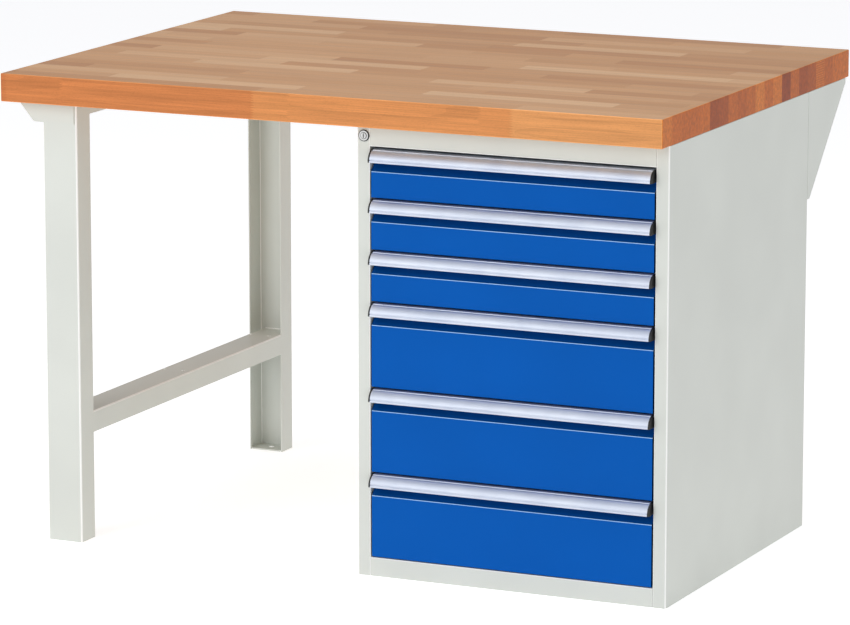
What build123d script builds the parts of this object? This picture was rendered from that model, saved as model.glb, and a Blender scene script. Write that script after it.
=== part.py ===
from build123d import *
import os
from math import pi, sqrt

# A workbench: a thick beech board on a chest of six drawers at the right and a leg frame at the left.
# Millimetres. The origin is on the floor under the middle of the board, +X to the right, front at -Y.

# ---- board ----
board_length = 1250
board_depth = 900
board_thickness = 50
board_edge = 2  # eased edges

# ---- sheet and clearances ----
cabinet_sheet = 1.5
leg_sheet = 2.0
drawer_sheet = 1.2
bend = 2.5  # outer radius of the cabinet's folds
seam_bend = 1.8  # tighter fold beside a rail
leg_bend = 3.5
touch = 0.3  # room between pieces that only pass each other

# ---- chest ----
front_inset = 34  # chest and leg frame stand this far behind the board's front edge
cabinet_depth = 660
opening_width = 526
stile_width = 24
stile_return = 28
bottom_rail_height = 33
top_rail_height = 37
rail_return = 26
gusset_inset = 17  # rear brackets end this far in front of the board's rear edge
gusset_height = 193
gusset_flange = 22
gusset_tip = 8  # height of its blunt outer end
gusset_foot = 10  # width of its lower end
flange_width = 24

# ---- drawers ----
drawer_unit = 30
drawer_units = [3, 3, 3, 5, 5, 5]  # from the top
drawer_gap = 3  # between two fronts
top_room = 3  # extra room above the top drawer, under the rail
side_gap = 2.5  # between a front and a stile
drawer_travel = 540
recess_height = 39  # crease of the finger recess, below the front's top
recess_depth = 20
front_return = 14
front_bend = 2.0
box_depth = 580
box_floor = 12  # above the drawer's own space
box_headroom = 18
box_front_headroom = 6

# ---- handle strip ----
handle_radius = 20.5
handle_wall = 2.0
handle_lip = 1.0
handle_set_back = 6  # centre of the quarter round behind the front's face
handle_flange = 18
handle_groove = 0.6
groove_above_lip = 1.8
groove_before_top = 9.5
cap_thickness = 3
cap_set_back = 12

# ---- drawer slides ----
slide_thickness = 13
slide_height = 40
slide_length = 560
slide_centre = 50  # above the drawer's own space
slide_start = 24  # behind the chest's face
slide_sheet = 1.2
outer_lip = 9
middle_web = 5.9  # from the mounting face
middle_height = 31
middle_lip = 4.2
inner_height = 22
inner_lip = 4.5
roller_radius = 6
roller_play = 0.2
roller_side_play = 0.5
roller_end = 20

# ---- uprights that carry the slides ----
upright_depth = 30
upright_rear_gap = 84
upright_headroom = 28

# ---- lock ----
lock_from_edge = 13.3
lock_below_top = 19
barrel_radius = 8
barrel_length = 14
lock_face_radius = 10
lock_face = 2.5
plug_radius = 5.5
plug_play = 0.05
plug_proud = 0.8
key_slot_width = 1.6
key_slot_height = 8
key_slot_depth = 6
cam_thickness = 1.5
bar_travel = 11
pin_radius = 1.75
pin_play = 0.5
cam_end_radius = 3
cam_boss_radius = 5
bar_width = 12
bar_thickness = 3
bar_play = 0.5
hook_height = 8
hook_play = 1  # round the hooks in the stile's slots
hook_rest = 4  # above the drawer's own space, unlocked
catch_height = 9
catch_thickness = 3
catch_reach = 8
hook_reach = 9
guide_height = 20
guide_wall = 2

# ---- leg frame ----
leg_inset = 64
leg_width = 68
leg_depth = 48
leg_rear_inset = 19
crossbar_top = 230.5
crossbar_height = 38.5
crossbar_width = 62
crossbar_hole_radius = 3.5
crossbar_hole_edge = 7
crossbar_hole_spacing = 38
crossbar_hole_end = 20  # from a leg's open edge
head_overhang = 47
head_drop = 37
head_flange = 25
head_slope_run = 30.6
head_corner = 10
head_end_gap = 4.5
foot_plate = 3
foot_set_back = 1  # behind the legs' open edges
foot_hole_radius = 5.5

# ---- screws into the board ----
screw_radius = 2.5
screw_head_radius = 5
screw_head = 3
screw_depth = 32
screw_play = 0.4
screw_inset = 60  # from the chest's front and rear
leg_screw_inset = 40  # from the legs' open edges
head_screw_inset = 20  # from the head bracket's outer edge
pilot_play = 0.1

# ---- places ----
opening_height = sum(drawer_units) * drawer_unit
cabinet_height = bottom_rail_height + opening_height + top_rail_height
bench_height = cabinet_height + board_thickness
board_right = board_length / 2
front = -board_depth / 2 + front_inset
rear = front + cabinet_depth
gusset_end = board_depth / 2 - gusset_inset
cabinet_half = opening_width / 2 + stile_width
cabinet_mid = board_right - cabinet_half
opening_half = opening_width / 2
skin_half = cabinet_half - cabinet_sheet
slide_half = opening_half - slide_thickness
left = -1
right = 1

front_half = opening_half - side_gap
wall_front = front + recess_depth
box_start = wall_front + drawer_sheet
box_end = box_start + box_depth
handle_centre = front + handle_set_back
slide_low = front + slide_start
slide_high = slide_low + slide_length
inside_rear = rear - 2 * cabinet_sheet
upright_starts = [front + stile_return + 2, rear - upright_rear_gap - upright_depth]

leg_left = -board_length / 2 + leg_inset
leg_right = leg_left + leg_width
front_leg_rear = front + leg_depth
rear_leg_rear = board_depth / 2 - leg_rear_inset
rear_leg_front = rear_leg_rear - leg_depth
leg_middle = (leg_left + leg_right) / 2
leg_height = cabinet_height - leg_sheet
crossbar_left = leg_right - crossbar_width

lock_x = cabinet_mid - cabinet_half + lock_from_edge
lock_z = cabinet_height - lock_below_top
lock_back = front + barrel_length
cam_back = lock_back + cam_thickness
bar_front = cam_back + bar_play
bar_back = bar_front + bar_thickness
pin_offset = bar_travel / 2  # the pin turns from this far below the lock's axis to as far above it
pin_reach = pin_offset * sqrt(2)

drawers = []  # (number, floor of its space, height of its space)
level = cabinet_height - top_rail_height
for number, units in enumerate(drawer_units, start=1):
    level = level - units * drawer_unit
    drawers.append((number, level, units * drawer_unit - (top_room if number == 1 else 0)))

cabinet_screws = [(cabinet_mid + side * (cabinet_half - flange_width / 2), along)
                  for side in (left, right)
                  for along in (front + screw_inset, (front + rear) / 2, rear - screw_inset,
                                (rear + gusset_end) / 2)]
head_left = leg_left - head_overhang
leg_screws = [(across, along)
              for across in (head_left + head_screw_inset, leg_middle)
              for along in (front_leg_rear + leg_screw_inset, (front + rear_leg_rear) / 2,
                            rear_leg_front - leg_screw_inset)]


def wall(low, high, mode=Mode.ADD):
    """A flat wall between its lowest and its highest corner."""
    with Locations(Location(low)):
        Box(high[0] - low[0], high[1] - low[1], high[2] - low[2], align=(Align.MIN,) * 3, mode=mode)


def cabinet_wall(side, inner, outer, y_low, y_high, z_low, z_high, mode=Mode.ADD):
    """A wall beside the chest's middle plane, from one distance from it to another."""
    ends = sorted((cabinet_mid + side * inner, cabinet_mid + side * outer))
    wall((ends[0], y_low, z_low), (ends[1], y_high, z_high), mode)


def folded(points, radii, thickness, side):
    """The section of a folded sheet: its outer face follows the points."""
    with BuildLine() as outline:
        FilletPolyline(*points, radius=radii)
        offset(amount=thickness, side=side, closed=True)
    make_face(outline.edges())


def keep(name, piece):
    """Labels a finished piece and writes it."""
    piece.label = name
    export_step(piece, f"parts/{name}.step")


def section_along_y(y):
    """A plane facing the front at y, with X to the right and Z up."""
    return Plane(origin=(0, y, 0), x_dir=(1, 0, 0), z_dir=(0, -1, 0))


os.makedirs("parts", exist_ok=True)

# ---- board: one thick slab with pilot holes for the screws from below ----
with BuildPart() as worktop:
    wall((-board_right, -board_depth / 2, cabinet_height), (board_right, board_depth / 2, bench_height))
    fillet(worktop.edges(), board_edge)
    with Locations(*[(x, y, cabinet_height) for x, y in cabinet_screws + leg_screws]):
        Cylinder(screw_radius + pilot_play, screw_depth, align=(Align.CENTER, Align.CENTER, Align.MIN),
                 mode=Mode.SUBTRACT)
keep("worktop", worktop.part)


# ---- chest: two folded sides ----
def cabinet_side(side, screws):
    """One side: skin, front stile with its return, rear flange and top flange."""
    profile = [(opening_half, front + stile_return), (opening_half, front), (cabinet_half, front),
               (cabinet_half, rear), (cabinet_half - flange_width, rear)]
    with BuildPart() as panel:
        with BuildSketch():
            folded([(cabinet_mid + side * u, y) for u, y in profile], (seam_bend, bend, bend),
                   cabinet_sheet, Side.RIGHT if side == left else Side.LEFT)
        extrude(amount=cabinet_height)
        cabinet_wall(side, cabinet_half - flange_width, skin_half + cabinet_sheet / 2,
                     front + cabinet_sheet / 2, rear - cabinet_sheet / 2,
                     cabinet_height - cabinet_sheet, cabinet_height)
        with Locations(*[(x, y, cabinet_height) for x, y in screws]):
            Cylinder(screw_radius + screw_play, 4 * cabinet_sheet, mode=Mode.SUBTRACT)
        if side == left:
            with Locations(Location((lock_x, front, lock_z), (90, 0, 0))):
                Cylinder(barrel_radius + touch, 4 * cabinet_sheet, mode=Mode.SUBTRACT)
            for _, floor, _ in drawers:
                cabinet_wall(side, opening_half - 1, opening_half + 2 * cabinet_sheet,
                             bar_front - hook_play, bar_back + hook_play, floor + hook_rest - hook_play,
                             floor + hook_rest + bar_travel + hook_height + hook_play, Mode.SUBTRACT)
    return panel.part


inner_screws = [(x, y) for x, y in cabinet_screws if y < rear]
keep("cabinet_left_side", cabinet_side(left, [s for s in inner_screws if s[0] < cabinet_mid]))
keep("cabinet_right_side", cabinet_side(right, [s for s in inner_screws if s[0] > cabinet_mid]))

# ---- chest: back panel, held behind the drawers against the sides' rear flanges ----
with BuildPart() as cabinet_back:
    cabinet_wall(right, -skin_half + bend, skin_half - bend, inside_rear, rear - cabinet_sheet,
                 0, cabinet_height - cabinet_sheet)
keep("cabinet_back", cabinet_back.part)

# ---- chest: base tray, a floor with its edges turned down to the ground ----
base_top = bottom_rail_height - 6
base_front = front + stile_return + touch
with BuildPart() as cabinet_base:
    cabinet_wall(right, -skin_half, skin_half, base_front, inside_rear, 0, base_top)
    cabinet_wall(right, -skin_half + cabinet_sheet, skin_half - cabinet_sheet, base_front + cabinet_sheet,
                 inside_rear - cabinet_sheet, 0, base_top - cabinet_sheet, Mode.SUBTRACT)
keep("cabinet_base", cabinet_base.part)

# ---- chest: front rails above and below the drawers, between the stiles ----
rail_left = cabinet_mid - opening_half
rail_back = front + rail_return
with BuildPart() as cabinet_bottom_rail:
    with BuildSketch(Plane.YZ.offset(rail_left)):
        folded([(front, 0), (front, bottom_rail_height), (rail_back, bottom_rail_height)], seam_bend,
               cabinet_sheet, Side.RIGHT)
    extrude(amount=opening_width)
keep("cabinet_bottom_rail", cabinet_bottom_rail.part)

top_rail_low = cabinet_height - top_rail_height
with BuildPart() as cabinet_top_rail:
    with BuildSketch(Plane.YZ.offset(rail_left)):
        folded([(rail_back, top_rail_low), (front, top_rail_low), (front, cabinet_height),
                (rail_back, cabinet_height)], (seam_bend, seam_bend), cabinet_sheet, Side.RIGHT)
    extrude(amount=opening_width)
keep("cabinet_top_rail", cabinet_top_rail.part)

rear_rail_front = inside_rear - 40
with BuildPart() as cabinet_rear_top_rail:
    with BuildSketch(Plane.YZ.offset(rail_left)):
        folded([(rear_rail_front, cabinet_height - 30), (rear_rail_front, cabinet_height),
                (inside_rear, cabinet_height)], seam_bend, cabinet_sheet, Side.RIGHT)
    extrude(amount=opening_width)
keep("cabinet_rear_top_rail", cabinet_rear_top_rail.part)


# ---- chest: triangular brackets that carry the board's overhang at the rear ----
def rear_gusset(side, screws):
    """A triangle in line with the side, with a flange against the back and one under the board."""
    with BuildPart() as bracket:
        with BuildSketch(Plane.YZ.offset(cabinet_mid + side * cabinet_half)):
            with BuildLine():
                Polyline((rear, cabinet_height - gusset_height), (rear, cabinet_height),
                         (gusset_end, cabinet_height), (gusset_end, cabinet_height - gusset_tip),
                         (rear + gusset_foot, cabinet_height - gusset_height), close=True)
            make_face()
        extrude(amount=-side * cabinet_sheet)
        cabinet_wall(side, cabinet_half - gusset_flange, cabinet_half, rear, gusset_end,
                     cabinet_height - cabinet_sheet, cabinet_height)
        cabinet_wall(side, cabinet_half - gusset_flange, cabinet_half, rear, rear + cabinet_sheet,
                     cabinet_height - gusset_height, cabinet_height)
        with Locations(*[(x, y, cabinet_height) for x, y in screws]):
            Cylinder(screw_radius + screw_play, 4 * cabinet_sheet, mode=Mode.SUBTRACT)
    return bracket.part


outer_screws = [(x, y) for x, y in cabinet_screws if y > rear]
keep("cabinet_left_gusset", rear_gusset(left, [s for s in outer_screws if s[0] < cabinet_mid]))
keep("cabinet_right_gusset", rear_gusset(right, [s for s in outer_screws if s[0] > cabinet_mid]))

# ---- chest: four channel uprights bring the slides level with the stiles ----
with BuildPart() as slide_uprights:
    for side in (left, right):
        for start in upright_starts:
            end = start + upright_depth
            with BuildSketch(Plane.XY.offset(base_top)):
                folded([(cabinet_mid + side * u, y) for u, y in
                        ((skin_half, start), (opening_half, start), (opening_half, end), (skin_half, end))],
                       (bend, bend), cabinet_sheet, Side.LEFT if side == left else Side.RIGHT)
            extrude(amount=cabinet_height - upright_headroom - base_top)
keep("slide_uprights", slide_uprights.part)


# ---- drawer slides: outer, middle and inner members, with rollers between them ----
def channel(side, web, lip, height, centre):
    """A channel along Y, from its web to its lips, counted inwards from the stile's edge."""
    web_end = web + slide_sheet if lip > web else web - slide_sheet
    low = centre - height / 2
    cabinet_wall(side, opening_half - web, opening_half - web_end, slide_low, slide_high, low, low + height)
    for lip_low in (low, low + height - slide_sheet):
        cabinet_wall(side, opening_half - web, opening_half - lip, slide_low, slide_high,
                     lip_low, lip_low + slide_sheet)


with BuildPart() as slide_outer_rails:
    for _, floor, _ in drawers:
        for side in (left, right):
            channel(side, 0, outer_lip, slide_height, floor + slide_centre)
keep("slide_outer_rails", slide_outer_rails.part)


def roller(side, inner, outer, y, z):
    """A nylon roller whose axle points across the bench."""
    middle = cabinet_mid + side * (opening_half - (inner + outer) / 2)
    with Locations(Location((middle, y, z), (0, 90, 0))):
        Cylinder(roller_radius, outer - inner)


def middle_slides(floor):
    """The middle members of one drawer, left and right, each with its four rollers."""
    centre = floor + slide_centre
    outboard = slide_height / 2 - slide_sheet - roller_radius - roller_play
    inboard = inner_height / 2 - slide_sheet - roller_radius - roller_play
    outer_end = slide_sheet + roller_side_play
    inner_start = middle_web + slide_sheet
    inner_end = slide_thickness - slide_sheet - roller_side_play
    with BuildPart() as members:
        for side in (left, right):
            channel(side, middle_web, inner_start + middle_lip, middle_height, centre)
            roller(side, outer_end, middle_web, slide_low + roller_end, centre - outboard)
            roller(side, outer_end, middle_web, slide_high - roller_end, centre + outboard)
            roller(side, inner_start, inner_end, slide_low + roller_end, centre + inboard)
            roller(side, inner_start, inner_end, slide_high - roller_end, centre - inboard)
    return members.part


def inner_slides(floor):
    """The members that are fixed to one drawer's box."""
    with BuildPart() as members:
        for side in (left, right):
            channel(side, slide_thickness, slide_thickness - inner_lip, inner_height, floor + slide_centre)
    return members.part


# ---- drawers ----
def drawer_front(floor, height):
    """A folded front: flat face, recess slanting in above the crease, upright wall behind the handle."""
    low = floor + drawer_gap / 2
    top = floor + height - drawer_gap / 2
    crease = top - recess_height
    with BuildPart() as panel:
        with BuildSketch(Plane.YZ.offset(cabinet_mid - front_half)):
            folded([(front + front_return, low), (front, low), (front, crease),
                    (wall_front, crease + recess_depth), (wall_front, top - handle_wall)],
                   front_bend, drawer_sheet, Side.RIGHT)
        extrude(amount=2 * front_half)
        for side in (left, right):
            cabinet_wall(side, front_half - drawer_sheet, front_half, front + drawer_sheet / 2,
                         front + front_return, low + drawer_sheet / 2, crease)
    return panel.part


def drawer_box(floor, height):
    """An open box with a taller front wall, and the catch for the lock's hook at its left."""
    low = floor + box_floor
    high = floor + height - box_headroom
    with BuildPart() as box:
        cabinet_wall(right, -slide_half, slide_half, box_start, box_end, low, high)
        cabinet_wall(right, -slide_half, slide_half, box_start, box_start + drawer_sheet, low,
                     floor + height - box_front_headroom)
        cabinet_wall(right, -slide_half + drawer_sheet, slide_half - drawer_sheet, box_start + drawer_sheet,
                     box_end - drawer_sheet, low + drawer_sheet, floor + height, Mode.SUBTRACT)
        catch_low = floor + hook_rest + bar_travel
        cabinet_wall(left, slide_half, slide_half + catch_reach, box_start, box_start + catch_thickness,
                     catch_low, catch_low + catch_height)
    return box.part


def drawer_handle(floor, height):
    """An aluminium strip: a quarter round with a straight lip, a flat top and a fixing flange."""
    top = floor + height - drawer_gap / 2
    centre = top - handle_radius
    inner = handle_radius - handle_wall
    tip = handle_centre - handle_radius
    with BuildPart() as strip:
        with BuildSketch(Plane.YZ.offset(cabinet_mid - front_half + cap_thickness)):
            with BuildLine():
                Line((tip, centre - handle_lip), (tip, centre))
                RadiusArc((tip, centre), (handle_centre, top), handle_radius)
                Polyline((handle_centre, top), (box_start, top), (box_start, top - handle_wall),
                         (wall_front, top - handle_wall), (wall_front, top - handle_flange),
                         (wall_front - handle_wall, top - handle_flange),
                         (wall_front - handle_wall, top - handle_wall), (handle_centre, top - handle_wall))
                RadiusArc((handle_centre, top - handle_wall), (tip + handle_wall, centre), -inner)
                Polyline((tip + handle_wall, centre), (tip + handle_wall, centre - handle_lip),
                         (tip, centre - handle_lip))
            make_face()
            groove_rise = sqrt(handle_radius ** 2 - groove_before_top ** 2)
            with Locations((tip, centre + groove_above_lip),
                           (handle_centre - groove_before_top, centre + groove_rise)):
                Circle(handle_groove, mode=Mode.SUBTRACT)
        extrude(amount=2 * (front_half - cap_thickness))
    return strip.part


def handle_caps(floor, height):
    """Two plastic caps that close the ends of the strip."""
    top = floor + height - drawer_gap / 2
    centre = top - handle_radius
    tip = handle_centre - handle_radius
    back = front + cap_set_back
    with BuildPart() as caps:
        for side in (left, right):
            with BuildSketch(Plane.YZ.offset(cabinet_mid + side * front_half)):
                with BuildLine():
                    Line((tip, centre - handle_lip), (tip, centre))
                    RadiusArc((tip, centre), (handle_centre, top), handle_radius)
                    Polyline((handle_centre, top), (back, top), (back, centre - handle_lip),
                             (tip, centre - handle_lip))
                make_face()
            extrude(amount=-side * cap_thickness)
    return caps.part


for number, floor, height in drawers:
    name = f"drawer_{number}"
    keep(f"{name}_front", drawer_front(floor, height))
    keep(f"{name}_box", drawer_box(floor, height))
    keep(f"{name}_handle", drawer_handle(floor, height))
    keep(f"{name}_handle_caps", handle_caps(floor, height))
    keep(f"{name}_inner_slides", inner_slides(floor))
    keep(f"{name}_middle_slides", middle_slides(floor))

# ---- lock: barrel in the left stile, turning plug with a cam, and a bar whose hooks hold the drawers ----
with BuildPart() as lock_barrel:
    with BuildSketch(section_along_y(front)):
        with Locations((lock_x, lock_z)):
            Circle(lock_face_radius)
            Circle(plug_radius + plug_play, mode=Mode.SUBTRACT)
    extrude(amount=lock_face)
    fillet(lock_barrel.edges().filter_by(GeomType.CIRCLE).group_by(Axis.Y)[0].sort_by(SortBy.RADIUS)[-1], 1)
    with BuildSketch(section_along_y(front)):
        with Locations((lock_x, lock_z)):
            Circle(barrel_radius)
            Circle(plug_radius + plug_play, mode=Mode.SUBTRACT)
    extrude(amount=-barrel_length)
keep("lock_barrel", lock_barrel.part)

face_front = front - lock_face - plug_proud
with BuildPart() as lock_plug:
    with BuildSketch(section_along_y(lock_back)):
        with Locations((lock_x, lock_z)):
            Circle(plug_radius)
    extrude(amount=lock_back - face_front)
    wall((lock_x - key_slot_width / 2, face_front, lock_z - key_slot_height / 2),
         (lock_x + key_slot_width / 2, face_front + key_slot_depth, lock_z + key_slot_height / 2),
         Mode.SUBTRACT)
keep("lock_plug", lock_plug.part)

cam_pin = (lock_x - pin_offset, lock_z - pin_offset)
with BuildPart() as lock_cam:
    with BuildSketch(section_along_y(cam_back)):
        with Locations((lock_x, lock_z)):
            Circle(cam_boss_radius)
        with Locations(cam_pin):
            Circle(cam_end_radius)
        make_hull()
    extrude(amount=cam_thickness)
    with BuildSketch(section_along_y(bar_back)):
        with Locations(cam_pin):
            Circle(pin_radius)
    extrude(amount=bar_back - cam_back)
keep("lock_cam", lock_cam.part)

bar_left = cabinet_mid - opening_half - cabinet_sheet - bar_play - bar_width
bar_right = bar_left + bar_width
head_start = lock_x - pin_reach - pin_radius - bar_play
slot_low = lock_z - pin_offset - pin_radius - pin_play
slot_high = lock_z - pin_offset + pin_radius + pin_play
with BuildPart() as lock_bar:
    wall((bar_left, bar_front, bottom_rail_height + 2), (bar_right, bar_back, slot_high + 4))
    wall((head_start, bar_front, slot_low - 4), (bar_right, bar_back, slot_high + 4))
    wall((head_start, bar_front, slot_low),
         (lock_x - pin_offset + pin_radius + bar_play, bar_back, slot_high), Mode.SUBTRACT)
    for _, floor, _ in drawers:
        wall((bar_left, bar_front, floor + hook_rest),
             (cabinet_mid - opening_half + hook_reach, bar_back, floor + hook_rest + hook_height))
keep("lock_bar", lock_bar.part)

guide_levels = [floor + height / 2 for number, floor, height in drawers if number in (2, 5)]
with BuildPart() as lock_bar_guides:
    for level in guide_levels:
        wall((bar_left - guide_wall, front + cabinet_sheet, level),
             (bar_right, bar_back + bar_play + guide_wall, level + guide_height))
        wall((bar_left - bar_play, bar_front - bar_play, level - 1),
             (bar_right + 1, bar_back + bar_play, level + guide_height + 1), Mode.SUBTRACT)
keep("lock_bar_guides", lock_bar_guides.part)


# ---- leg frame: two channel legs that face each other ----
def leg(web_y, open_y):
    """A channel whose web stands at web_y and whose open side is at open_y."""
    turn = Side.RIGHT if web_y > open_y else Side.LEFT
    with BuildPart() as channel_leg:
        with BuildSketch():
            folded([(leg_left, open_y), (leg_left, web_y), (leg_right, web_y), (leg_right, open_y)],
                   (leg_bend, leg_bend), leg_sheet, turn)
        extrude(amount=leg_height)
    return channel_leg.part


keep("leg_front", leg(front, front_leg_rear))
keep("leg_rear", leg(rear_leg_rear, rear_leg_front))

# ---- leg frame: crossbar, an upturned channel in line with the legs' inner faces ----
crossbar_low = crossbar_top - crossbar_height
hole_lines = [front_leg_rear + crossbar_hole_end, (front_leg_rear + rear_leg_front) / 2,
              rear_leg_front - crossbar_hole_end]
hole_rows = [crossbar_left + crossbar_hole_edge, crossbar_left + crossbar_hole_edge + crossbar_hole_spacing]
with BuildPart() as leg_crossbar:
    with BuildSketch(section_along_y(rear_leg_front)):
        folded([(crossbar_left, crossbar_low), (crossbar_left, crossbar_top), (leg_right, crossbar_top),
                (leg_right, crossbar_low)], (leg_bend, leg_bend), leg_sheet, Side.RIGHT)
    extrude(amount=rear_leg_front - front_leg_rear)
    for low, high in ((front + leg_sheet, front_leg_rear), (rear_leg_front, rear_leg_rear - leg_sheet)):
        wall((crossbar_left + leg_bend, low, crossbar_top - leg_sheet),
             (leg_right - leg_bend, high, crossbar_top))
    with Locations(*[(x, y, crossbar_top) for x in hole_rows for y in hole_lines]):
        Cylinder(crossbar_hole_radius, 3 * leg_sheet, mode=Mode.SUBTRACT)
keep("leg_crossbar", leg_crossbar.part)


# ---- leg frame: head bracket under the board, with an end plate at the front and at the rear ----
def head_end():
    """The outline of an end plate: sloping outwards to the board at its outer end."""
    low = cabinet_height - head_drop
    with BuildLine() as outline:
        FilletPolyline((head_left, cabinet_height), (head_left + head_slope_run, low),
                       (leg_right - head_end_gap, low), radius=head_corner)
        Polyline((leg_right - head_end_gap, low), (leg_right - head_end_gap, cabinet_height),
                 (head_left, cabinet_height))
    make_face(outline.edges())


with BuildPart() as leg_head_bracket:
    wall((head_left, front, leg_height), (leg_right, rear_leg_rear, cabinet_height))
    wall((leg_right - leg_sheet, front_leg_rear, cabinet_height - head_flange),
         (leg_right, rear_leg_front, cabinet_height))
    with BuildSketch(section_along_y(front)):
        head_end()
    extrude(amount=leg_sheet)
    with BuildSketch(section_along_y(rear_leg_rear + leg_sheet)):
        head_end()
    extrude(amount=leg_sheet)
    with Locations(*[(x, y, cabinet_height) for x, y in leg_screws]):
        Cylinder(screw_radius + screw_play, 4 * leg_sheet, mode=Mode.SUBTRACT)
keep("leg_head_bracket", leg_head_bracket.part)

# ---- leg frame: plates welded inside the feet, each with a hole for a floor bolt ----
plate_left = leg_left + leg_sheet
plate_right = leg_right - leg_sheet
with BuildPart() as leg_foot_plates:
    for low, high in ((front + leg_sheet, front_leg_rear - foot_set_back),
                      (rear_leg_front + foot_set_back, rear_leg_rear - leg_sheet)):
        with BuildSketch():
            with Locations((leg_middle, (low + high) / 2)):
                RectangleRounded(plate_right - plate_left, high - low, leg_bend)
                Circle(foot_hole_radius, mode=Mode.SUBTRACT)
        extrude(amount=foot_plate)
keep("leg_foot_plates", leg_foot_plates.part)


# ---- wood screws from below into the board ----
def screws(places, below):
    """Pan-head screws whose heads bear on a sheet of this thickness under the board."""
    with BuildPart() as group:
        with Locations(*[(x, y, cabinet_height - below - screw_head) for x, y in places]):
            Cylinder(screw_head_radius, screw_head, align=(Align.CENTER, Align.CENTER, Align.MIN))
            Cylinder(screw_radius, screw_head + below + screw_depth - 4,
                     align=(Align.CENTER, Align.CENTER, Align.MIN))
        with Locations(*[(x, y, cabinet_height + screw_depth - 4) for x, y in places]):
            Cone(screw_radius, 0.5, 4, align=(Align.CENTER, Align.CENTER, Align.MIN))
    return group.part


keep("cabinet_screws", screws(cabinet_screws, cabinet_sheet))
keep("leg_screws", screws(leg_screws, leg_sheet))
print("bench", board_length, board_depth, bench_height, "lock ratio", bar_travel / (pi / 2), "per radian")
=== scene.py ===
# %% [markdown]
# # A workbench with six drawers
# The bench is a thick beech board on a steel chest and a steel leg frame. The engineering model of every
# part is loaded first and stays where it is. Everything below gives it its light, its finishes and the small
# pieces that a drawing leaves out, such as cross-head screws, rivets, weld beads and swept handles.

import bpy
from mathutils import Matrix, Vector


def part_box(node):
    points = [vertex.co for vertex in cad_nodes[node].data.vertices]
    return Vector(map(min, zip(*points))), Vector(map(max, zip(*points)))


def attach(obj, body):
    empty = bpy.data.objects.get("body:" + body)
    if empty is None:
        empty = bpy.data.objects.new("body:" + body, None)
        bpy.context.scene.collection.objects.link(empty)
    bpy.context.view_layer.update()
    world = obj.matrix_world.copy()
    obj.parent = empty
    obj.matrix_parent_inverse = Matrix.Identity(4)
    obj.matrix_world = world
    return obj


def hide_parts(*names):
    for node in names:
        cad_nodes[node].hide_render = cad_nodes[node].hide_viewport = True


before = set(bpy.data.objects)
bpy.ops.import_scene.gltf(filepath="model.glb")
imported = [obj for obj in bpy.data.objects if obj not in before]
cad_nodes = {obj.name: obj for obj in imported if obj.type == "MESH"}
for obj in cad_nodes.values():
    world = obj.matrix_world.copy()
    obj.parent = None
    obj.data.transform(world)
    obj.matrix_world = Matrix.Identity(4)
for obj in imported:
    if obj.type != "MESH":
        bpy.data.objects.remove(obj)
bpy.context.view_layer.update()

# %% Names used all the way through
from math import cos, pi, radians, sin, tau

import bmesh
import bpy
from mathutils import Vector

scene = bpy.context.scene
mm = 0.001  # every size is in metres, so a millimetre is a thousandth
drawer_numbers = range(1, 7)


def srgb(red, green, blue):
    """A colour as a paint chart gives it, 0 to 255, as the linear light that the shaders work in."""
    def linear(channel):
        share = channel / 255
        return share / 12.92 if share <= 0.04045 else ((share + 0.055) / 1.055) ** 2.4
    return (linear(red), linear(green), linear(blue), 1.0)


print("mid grey is", [round(c, 3) for c in srgb(128, 128, 128)])

# %% [markdown]
# ## Camera
# Furniture is shown from the front, a little to the right and a little above the board, so that the front,
# the side and the top all read. A shifted lens would keep the uprights exactly parallel, but it loses the
# bench as soon as the camera goes round it. A long lens from far away keeps them nearly so from every side.

# %% Set up the camera
camera_place = Vector((3.6276, -7.9010, 2.1025))
camera_turn = 0.4318  # towards the left, in radians
camera_tilt = 0.1952  # downwards
camera_data = bpy.data.cameras.new("camera")
camera_data.sensor_width = 36
camera_data.lens = 208.67
camera_data.clip_end = 60
camera = bpy.data.objects.new("camera", camera_data)
camera.location = camera_place
camera.rotation_euler = (pi / 2 - camera_tilt, 0, camera_turn)
scene.collection.objects.link(camera)
scene.camera = camera
print("camera stands", round(camera_place.length, 2), "m away, lens", camera_data.lens, "mm")

# %% [markdown]
# ## Light
# A white studio: a wide soft box in front and to the left, another overhead, and a sky that is bright at the
# horizon and cooler and darker at its top. A picture of a real studio could light it too, but a ramp of three
# colours needs no file and is easy to tune. The dark top matters for metal, which shows only what it
# reflects: a quarter-round strip of aluminium then shades from grey to white instead of going flat.

# %% Draw the studio's sky
sky_colours = ((0.0, (1.0, 1.0, 1.0, 1)), (0.35, (0.87, 0.87, 0.89, 1)), (1.0, (0.42, 0.435, 0.48, 1)))
sky_strength = 0.66
world = bpy.data.worlds.new("studio")
scene.world = world
world.use_nodes = True
sky = world.node_tree
sky.nodes.clear()
sky_direction = sky.nodes.new("ShaderNodeTexCoord")
sky_height = sky.nodes.new("ShaderNodeSeparateXYZ")
sky_ramp = sky.nodes.new("ShaderNodeValToRGB")
sky_light = sky.nodes.new("ShaderNodeBackground")
sky_output = sky.nodes.new("ShaderNodeOutputWorld")
sky.links.new(sky_direction.outputs["Generated"], sky_height.inputs[0])
sky.links.new(sky_height.outputs["Z"], sky_ramp.inputs["Fac"])
sky.links.new(sky_ramp.outputs["Color"], sky_light.inputs["Color"])
sky.links.new(sky_light.outputs["Background"], sky_output.inputs["Surface"])
stops = sky_ramp.color_ramp.elements
stops.new(sky_colours[1][0])
for stop, (height, colour) in zip(stops, sky_colours):
    stop.position, stop.color = height, colour
sky_light.inputs["Strength"].default_value = sky_strength
scene.view_settings.view_transform = "Standard"
print("sky stops at", [round(stop.position, 2) for stop in stops])


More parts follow.
